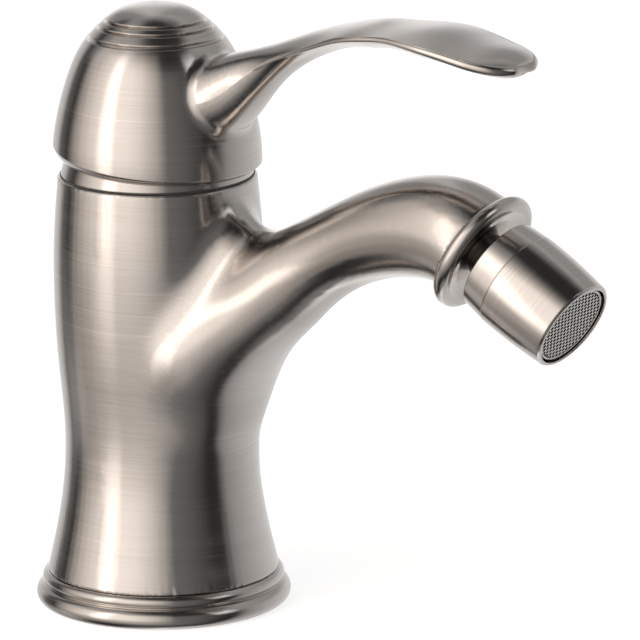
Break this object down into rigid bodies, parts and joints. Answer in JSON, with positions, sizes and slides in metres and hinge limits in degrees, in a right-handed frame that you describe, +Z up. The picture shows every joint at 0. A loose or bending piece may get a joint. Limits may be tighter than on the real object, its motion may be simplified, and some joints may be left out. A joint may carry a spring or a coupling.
{
  "type": "bidet mixer",
  "caption": "Single-lever bidet mixer: waisted column, short arched spout, bell cap with a leaf-shaped lever, swivelling aerator on a ball joint.",
  "frame": {"origin": "on the column's axis in the deck plane, under the base ring", "axes": "+X from the column towards the outlet, +Z up along the column"},
  "size_m": [0.1496, 0.0582, 0.1425],
  "materials": {
    "nickel_brass": "brushed nickel plate",
    "nickel_plug": "nickel plated",
    "raw_brass": "turned",
    "steel": "machined",
    "ceramic": "lapped ceramic",
    "cartridge_plastic": "moulded",
    "slip_plastic": "moulded",
    "insert_plastic": "moulded",
    "seal_rubber": "matt"
  },
  "bodies": {
    "body": {"mixer_body": "nickel_brass", "base_ring": "nickel_brass", "base_gasket": "seal_rubber", "neck_gasket": "seal_rubber", "neck_cover": "nickel_brass", "clamp_nut": "raw_brass", "cartridge_housing": "cartridge_plastic", "cartridge_base": "cartridge_plastic", "port_seals": "seal_rubber", "fixed_disc": "ceramic", "spout_flange": "nickel_brass", "ball_joint": "steel"},
    "turret": {"stem_carrier": "cartridge_plastic", "stem_pin": "steel"},
    "handle": {"handle": "nickel_brass", "stem": "steel", "handle_screw": "steel", "screw_plug": "nickel_plug"},
    "disc": {"disc_driver": "cartridge_plastic", "moving_disc": "ceramic"},
    "slip_ring": {"ball_seat": "slip_plastic"},
    "aerator": {"swivel_ring": "nickel_brass", "aerator_housing": "nickel_brass", "aerator_gasket": "seal_rubber", "aerator_insert": "insert_plastic", "filter_screen": "insert_plastic", "honeycomb": "insert_plastic"}
  },
  "joints": [
    {"name": "handle_swing", "type": "hinge", "parent": "body", "child": "turret", "pos_m": [0, 0, 0.0955], "axis": [0, 0, 1], "range_deg": [-45, 45]},
    {"name": "handle_lift", "type": "hinge", "parent": "turret", "child": "handle", "pos_m": [0, 0, 0.0955], "axis": [0, -1, 0], "range_deg": [0, 10]},
    {"name": "disc_slide", "type": "slide", "parent": "turret", "child": "disc", "axis": [1, 0, 0], "range_m": [0, 0.003]},
    {"name": "aerator_pan", "type": "hinge", "parent": "body", "child": "slip_ring", "pos_m": [0.09805, 0, 0.08985], "axis": [0.4848, 0, 0.8746], "range_deg": [-12, 12]},
    {"name": "aerator_tilt", "type": "hinge", "parent": "slip_ring", "child": "aerator", "pos_m": [0.09805, 0, 0.08985], "axis": [0, 1, 0], "range_deg": [-12, 12]}
  ],
  "couplings": [
    {"joint": "disc_slide", "follows": "handle_lift", "m_per_rad": 0.0162}
  ]
}
